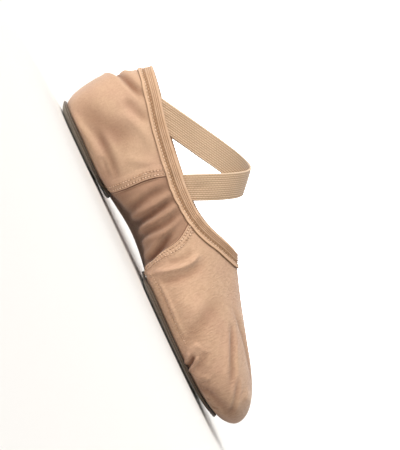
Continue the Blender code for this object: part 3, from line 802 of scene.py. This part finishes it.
outsideLines = evenly(binding["outside"], 2 * len(binding["outside"]) - 1)
rows = [bindingRow("outside", drop, out) for drop, out in outsideLines]
for turn in np.linspace(0, math.pi, binding["roll"] + 2)[1:-1]:
    rows.append(bindingRow("roll", 0.3 - 1.15 * math.sin(turn), 0.4 + 1.8 * math.cos(turn)))
rows += [bindingRow("inside", drop, out) for drop, out in binding["inside"]]
rows += [bindingRow("inside", 8.4, 0.1), bindingRow("inside", 4.2, 0.1), bindingRow("inside", 0.6, 0.1)]
rows += [bindingRow("outside", 0.6, 0.1), bindingRow("outside", 4.5, 0.1)]


def bindingMaterial():
    # Cotton bias tape: ribbed, with painted shade between its ribs, in its stitched groove and under its
    # lower edge
    made, tree, shader = newMaterial("ribbed cotton binding", binding["colour"], 0.8, sheen=0.2)
    cloth = addNode(tree, "UVMap", {"uv_map": "cloth"})
    place = addNode(tree, "TexCoord", {}, "Object")
    groove, flat = (addNode(tree, "Attribute", {"attribute_name": kept}, "Fac")
                    for kept in ("groove", "flat"))
    warp = addNode(tree, "TexWave", {"Scale": bands(0.75 * mm), "Distortion": 0.8, "Vector": cloth}, "Fac")
    fuzz = addNode(tree, "TexNoise", {"Scale": 1 / (0.9 * mm), "Detail": 3, "Vector": place}, "Fac")
    finishMaterial(tree, shader, binding["colour"], [
        ("MIX", mottle(tree, place, 9 * mm, 2, 0.35, 0.7), 1.0, binding["duller"]),
        ("MIX", flat, 1.0, binding["flat"]),
        ("MIX", warp, 0.1, binding["shaded"]),
        ("MIX", groove, 1.0, binding["shaded"]),
    ], [(warp, 0.06 * mm), (fuzz, 0.06 * mm)])
    return made


collar = loft("collar_binding_strip", np.stack(rows, 1), lap=True)
collar.data.materials.append(bindingMaterial())
drops = [drop for drop, _ in outsideLines]
# groove: painted shade between the ribs, in the stitched groove and under the lower edge
for name, spots, values in (
        ("groove", [0.6, 1.0, 1.4, 1.8, 2.15, 2.5, 2.9, 3.25, 3.6, 4.4, 4.8, 6.0, 6.3, 7.0, 7.4, 8.7, 8.95],
         [0, 0.55, 0, 0, 0.6, 0, 0, 0.6, 0, 0.2, 0.9, 0.9, 0.7, 0.6, 0, 0, 0.9]),
        ("flat", [6.2, 6.6], [0, 1])):
    value = np.interp(drops, spots, values)
    setValue(collar, name, np.tile(np.concatenate([value, np.zeros(len(rows) - len(value))]), len(stations)))
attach(collar, "root")
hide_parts("collar_binding")
print("collar binding", len(collar.data.polygons), "faces")


# Stitches: a row along the binding's lower edge, and two along each seam's hem

stitch = {
    "thread": "E9CBB0",
    "pitch": 2.2,
    "bindingSize": (0.75, 0.4, 0.42),  # half length, half width, half height in mm
    "crossSize": (0.8, 0.3, 0.3),
    "crossSlant": 0.35,                # share of the pitch that a cross stitch leans
    # the same thread, darker as painted shade of the groove it lies in
    "grooveThread": "C49E79",
    "seamSize": (0.78, 0.38, 0.4),
    "seamRows": (1.5, 4.1),            # mm from the folded edge
    "seamPitch": 2.0,
    "patchSize": (0.6, 0.22, 0.26),
    "backSize": (0.8, 0.2, 0.22),
    "backThread": "C08D66",
}


def rowOf(line, tree, lift, pitch):  # stitch marks at an even pitch along a line on a surface
    line = paced(line, pitch * mm)
    along = np.gradient(line, axis=0)
    marks = []
    for point, way in zip(line, along):
        place, normal, _, _ = tree.find_nearest(Vector(point))
        marks.append((place + normal * lift * mm, way, normal))
    return marks


thread = threadMaterial("cotton stitching", stitch["thread"])
collarTree = pieceTree(collar)
lapRow = bindingRow("outside", 6.7, 1.38)
lapRow = np.concatenate([lapRow, lapRow[:1]])
marks = rowOf(lapRow, collarTree, 0.02, stitch["pitch"])
stitching("binding_stitches", marks, stitch["bindingSize"], thread)

hooked = []
lowRow, highRow = bindingRow("outside", 5.9, 0.95), bindingRow("outside", 4.9, 0.95)
closed = [np.concatenate([row, row[:1]]) for row in (lowRow, highRow)]
lowRow, highRow = (paced(row, stitch["pitch"] * mm) for row in closed)
for at in range(min(len(lowRow), len(highRow)) - 1):
    normal = np.array(clothTree.find_nearest(Vector(lowRow[at]))[1])
    slant = (lowRow[at + 1] - lowRow[at]) * stitch["crossSlant"]
    hooked.append(((lowRow[at] + highRow[at]) / 2, highRow[at] - lowRow[at] + slant, normal))
# the cross stitches' thread: the same cotton, darker as painted shade of the groove
under = threadMaterial("cotton stitching in the groove", stitch["grooveThread"])
stitching("binding_cross_stitches", hooked, stitch["crossSize"], under)


def rope(name, line, radius, tree, material):  # a thin roll laid along a surface
    line = paced(line, 0.7 * mm)
    along = np.gradient(line, axis=0)
    outs = np.array([tree.find_nearest(Vector(point))[1] for point in line])
    sides = np.cross(along, outs)
    sides /= np.linalg.norm(sides, axis=1)[:, None]
    fromEnd = np.minimum(np.arange(len(line)), np.arange(len(line))[::-1])
    thin = np.minimum(1, fromEnd / 4 + 0.15)[:, None] * radius
    turns = np.arange(10) * math.pi / 5
    rows = [line + (sides * math.cos(turn) + outs * math.sin(turn)) * thin for turn in turns]
    piece = loft(name, np.stack(rows, 1), lap=False)
    piece.data.materials.append(material)
    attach(piece, "root")
    return piece


marks = []
hemCloth = canvasMaterial("folded canvas edge", canvas["colour"], canvas["pinker"], 0.3)
for name in seamLines:
    line, outs, overs = seamGuide(name, 200)
    shown = np.linalg.norm(line - feet(line, evenly(rimLine, 2000)), axis=1) > 8.0 * mm
    line, overs = line[shown], overs[shown]
    folded = snapped(line + overs * hem["edgeIn"] * mm, clothTree, 0.0)
    edge = rope("seam_edge_" + name, folded, hem["edge"], clothTree, hemCloth)
    setValue(edge, "hemAcross", np.full(len(edge.data.vertices), hem["unset"]))
    for offset in stitch["seamRows"]:
        row = snapped(line + overs * offset * mm, clothTree, 0.0)
        marks += rowOf(row, clothTree, 0.12, stitch["seamPitch"])
stitching("seam_stitches", marks, stitch["seamSize"], thread)

marks = []
for view, path in patchRow.items():
    line = evenly([seenFrom(view, *spot)[0] for spot in path], 60)
    marks += rowOf(line, clothTree, 0.03, 2.0)
stitching("patch_stitches", marks, stitch["patchSize"], thread)

backLine = evenly([seenFrom("back", 0, height)[0] for height in (7, 14, 22, 30, 38, 46, 54)], 120)
backMarks = rowOf(backLine, clothTree, 0.0, 1.7)
backThread = threadMaterial("cotton stitching of the back seam", stitch["backThread"])
stitching("back_seam_stitches", backMarks, stitch["backSize"], backThread)
print("stitches made")


# Elastics: two ribbed straps that cross over the instep

elastic = {
    "colour": "CFB294",
    "valley": "A98868",
    "selvedge": "DBC2A6",
    "ribs": 13,
    "rib": 1.3 * mm,         # from one rib to the next
    "ribHeight": 0.16,
    "dash": 1.9 * mm,        # along a rib, from one dash to the next
    "step": 1.0 * mm,
    "perRib": 5,
}


def elasticMaterial():
    # Flat ribbed elastic: rubber cords under polyester and cotton, short dashes across each rib
    made, tree, shader = newMaterial("ribbed elastic", elastic["colour"], 0.68, sheen=0.15)
    cloth = addNode(tree, "UVMap", {"uv_map": "cloth"})
    edge = addNode(tree, "Attribute", {"attribute_name": "edge"}, "Fac")
    ribs = addNode(tree, "TexWave", {
        "bands_direction": "Y", "Scale": bands(elastic["rib"]), "Distortion": 0.15, "Vector": cloth}, "Fac")
    # painted shade in the valleys between the ribs and in the gaps between the dashes
    valleys = addNode(tree, "MapRange", {"From Min": 0.45, "From Max": 0.0, "Value": ribs})
    dashes = addNode(tree, "TexBrick", {
        "Scale": 1.0, "Brick Width": elastic["dash"], "Row Height": elastic["rib"],
        "Mortar Size": 0.16 * mm, "Vector": cloth}, "Fac")
    raised = addNode(tree, "Math", {"operation": "SUBTRACT", 0: 1.0, 1: dashes})
    weft = addNode(tree, "TexWave", {"Scale": bands(0.65 * mm), "Distortion": 1.0, "Vector": cloth}, "Fac")
    finishMaterial(tree, shader, elastic["colour"], [
        ("MIX", valleys, 1.0, elastic["valley"]),
        ("MIX", dashes, 0.5, elastic["valley"]),
        ("MIX", edge, 1.0, elastic["selvedge"]),
    ], [(raised, 0.08 * mm), (weft, 0.05 * mm)])
    return made


elasticLook = elasticMaterial()


def strap(node, name):
    packed = merged(node)
    tree = treeOf(packed, packed.faces)
    sides = [line for line in chains(packed, 60, 180) if len(line) > 20]
    packed.free()
    sides = [line if line[0, 1] < line[-1, 1] else line[::-1] for line in sides]
    first = sides.pop(0)
    sides.sort(key=lambda line: np.linalg.norm(line[0] - first[0]))
    twin, opposite, far = sides
    length = np.linalg.norm(np.diff(first, axis=0), axis=1).sum()
    count = round(length / elastic["step"])
    first, twin, opposite, far = (evenly(line, count) for line in (first, twin, opposite, far))
    across = elastic["ribs"] * elastic["perRib"] + 1
    shares = np.linspace(0, 1, across)
    height = elastic["ribHeight"] * mm * np.sin(math.pi * elastic["ribs"] * shares)**2
    height -= 0.18 * mm * abs(2 * shares - 1)**10
    columns = []
    for start, end, back in ((first, opposite, twin), (twin, far, first)):
        out = start - back
        out /= np.linalg.norm(out, axis=1)[:, None]
        face = []
        for share, rise in zip(shares, height):
            line = start + (end - start) * min(max(share, 0.02), 0.98)
            for at, (point, way) in enumerate(zip(line, out)):
                hit = tree.ray_cast(Vector(point + way * 3 * mm), Vector(-way), 6 * mm)[0]
                point = np.array(hit) if hit else point
                line[at] = point + way * rise
            face.append(line + (end - start) * (share - min(max(share, 0.02), 0.98)))
        columns.append(face)
    rows = np.stack(columns[0] + columns[1][::-1], 1)
    flat = shares * elastic["ribs"] * elastic["rib"]
    piece = loft(name, rows, lap=False, across=np.concatenate([flat, flat[::-1], flat[:1]]))
    edge = smooth((abs(2 * shares - 1) - 0.93) / 0.05)
    setValue(piece, "edge", np.tile(np.concatenate([edge, edge[::-1]]), count))
    piece.data.materials.append(elasticLook)
    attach(piece, "root")
    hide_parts(node)


strap("elastic_strap_lower", "elastic_under")
strap("elastic_strap_upper", "elastic_over")
print("elastics made")


# Sole patches and insoles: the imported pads, softened

suede = {
    "colour": "746857",
    # the front patch: the heel's suede, darker as painted shade
    "forefoot": "6E5E4B",
    "edge": "4A3D31",
    "pressed": "B5A38B",
    "nap": 0.9 * mm,
    "hatch": 1.3 * mm,
}
insole = {"colour": "CDB294", "spot": "BDA082", "thread": 0.9 * mm}


def suedeMaterial(name, colour):
    # Split suede: short nap with a pressed crosshatch, dull, darker within about a millimetre of its rim
    made, tree, shader = newMaterial(name, colour, 0.95, sheen=0.35)
    cloth = addNode(tree, "UVMap", {"uv_map": "cloth"})
    place = addNode(tree, "TexCoord", {}, "Object")
    rim = addNode(tree, "Attribute", {"attribute_name": "rim"}, "Fac")
    nap = addNode(tree, "TexNoise", {"Scale": 1 / suede["nap"], "Detail": 5, "Vector": place}, "Fac")
    fine = addNode(tree, "TexNoise", {"Scale": 1 / (0.3 * mm), "Detail": 2, "Vector": place}, "Fac")
    hatch = []
    for turn in (0.7, -0.8):
        turned = addNode(tree, "Mapping", {"Rotation": (0, 0, turn), "Vector": cloth})
        hatch.append(addNode(tree, "TexWave", {
            "Scale": bands(suede["hatch"]), "Distortion": 1.5, "Vector": turned}, "Fac"))
    crossed = addNode(tree, "Math", {"operation": "MULTIPLY", 0: hatch[0], 1: hatch[1]})
    shaded = addNode(tree, "MapRange", {"From Min": 0.3, "From Max": 0.7, "Value": nap})
    rimDarkening = addNode(tree, "MapRange", {"From Min": 1.3, "From Max": 0.4, "Value": rim})
    finishMaterial(tree, shader, colour, [
        ("MIX", shaded, 0.45, suede["edge"]),
        ("MIX", crossed, 0.55, suede["pressed"]),
        ("MIX", rimDarkening, 1.0, suede["edge"]),
    ], [(crossed, 0.07 * mm), (nap, 0.14 * mm), (fine, 0.06 * mm)])
    return made


def insoleMaterial():
    # Brushed cotton over thin foam: soft, plain weave, a little worn
    made, tree, shader = newMaterial("brushed insole cloth", insole["colour"], 0.9, sheen=0.25)
    cloth = addNode(tree, "UVMap", {"uv_map": "cloth"})
    place = addNode(tree, "TexCoord", {}, "Object")
    weave = plainWeave(tree, cloth, insole["thread"], 0.5)
    foam = addNode(tree, "TexNoise", {"Scale": 1 / (3 * mm), "Detail": 2, "Vector": place}, "Fac")
    worn = mottle(tree, place, 18 * mm, 3, 0.35, 0.7)
    finishMaterial(tree, shader, insole["colour"], [("MIX", worn, 1.0, insole["spot"])],
                   [(weave, 0.07 * mm), (foam, 0.15 * mm)])
    return made


def pad(node, name, material):
    piece = nodeCopy(node, name)
    packed = merged(node)
    edges = np.concatenate([paced(line, 0.5 * mm) for line in chains(packed, 50, 180)])
    packed.free()
    work = bmesh.new()  # half-held edges, so that the rims stay at the canvas
    work.from_mesh(piece.data)
    held = work.edges.layers.float.new("crease_edge")
    for edge in work.edges:
        edge[held] = 0.6 if edge.calc_face_angle() > math.radians(50) else 0.0
    work.to_mesh(piece.data)
    work.free()
    refine(piece, 2)
    piece.data.shade_smooth()
    points = pointsOf(piece)
    nearest = np.concatenate([feet(part, edges) for part in np.array_split(points, 40)])
    setValue(piece, "rim", np.linalg.norm(points - nearest, axis=1) / mm)
    dress(piece)
    piece.data.materials.append(material)
    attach(piece, "root")
    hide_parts(node)


heelSuede = suedeMaterial("suede of the heel patch", suede["colour"])
# the front patch's suede is the heel's, darker as painted shade
frontSuede = suedeMaterial("suede of the front patch", suede["forefoot"])
pad("heel_sole_patch", "heel_suede", heelSuede)
pad("forefoot_sole_patch", "forefoot_suede", frontSuede)
insoleLook = insoleMaterial()
pad("heel_insole", "heel_insole_pad", insoleLook)
pad("forefoot_insole", "forefoot_insole_pad", insoleLook)
print("patches and insoles made")


# Floor, backdrop, lights and the photograph's camera

studio = {
    "key": 3.85,
    "keyFrom": (0.56, -0.6, 0.68),
    "keyAngle": 48,
    "world": 0.26,
    "backdrop": 1.05,
    "floor": "E9E7E4",
    "raised": 1.0,           # degrees of the camera above level; the photo's looks up from lower
    "rolled": 154.77,
    "aim": (0, -0.0064, 0.0492),
    "distance": 1.6,
    "lens": 198.5,
}


def sheet(name, size, place, turn):  # size is (length, width), turn is about Y
    bpy.ops.mesh.primitive_plane_add(size=1, location=place, rotation=(0, turn, 0))
    made = bpy.context.object
    made.name = made.data.name = name
    made.scale = (*size, 1)
    pickOnly(made)
    bpy.ops.object.transform_apply()
    return made


floor = sheet("floor", (14, 14), (0, 0, 0), 0)
made, tree, shader = newMaterial("pale painted floor", studio["floor"], 0.9)
floor.data.materials.append(made)
backdrop = sheet("backdrop", (2.5, 4), (-2, 0, 1.25), math.pi / 2)
made, tree, shader = newMaterial("lit paper backdrop", "FFFFFF", 0.9)
shader.inputs["Emission Color"].default_value = (1, 1, 1, 1)
shader.inputs["Emission Strength"].default_value = studio["backdrop"]
backdrop.data.materials.append(made)

world = bpy.data.worlds.new("studio")
world.use_nodes = True
world.node_tree.nodes["Background"].inputs["Color"].default_value = (1, 1, 1, 1)
world.node_tree.nodes["Background"].inputs["Strength"].default_value = studio["world"]
bpy.context.scene.world = world

key = bpy.data.lights.new("key", "SUN")
key.energy = studio["key"]
key.angle = math.radians(studio["keyAngle"])
key.color = (1.0, 0.985, 0.96)
keyPiece = bpy.data.objects.new("key", key)
keyPiece.rotation_euler = Vector(studio["keyFrom"]).to_track_quat("Z", "Y").to_euler()
bpy.context.scene.collection.objects.link(keyPiece)

camera = bpy.data.cameras.new("photo_camera")
camera.sensor_fit = "VERTICAL"
camera.sensor_height = 36
camera.lens = studio["lens"]
camera.dof.use_dof = False
cameraPiece = bpy.data.objects.new("photo_camera", camera)
raised, rolled = math.radians(studio["raised"]), math.radians(studio["rolled"])
level = Matrix.Rotation(-raised, 4, "Y") @ Matrix.Rotation(math.pi / 2, 4, "Y")
turned = level @ Matrix.Rotation(rolled, 4, "Z")
back = turned.to_3x3().col[2]
stand = Vector(studio["aim"]) + back * studio["distance"]
cameraPiece.matrix_world = Matrix.Translation(stand) @ turned
bpy.context.scene.collection.objects.link(cameraPiece)
bpy.context.scene.camera = cameraPiece
bpy.context.scene.view_settings.view_transform = "Standard"

print("scene ready")
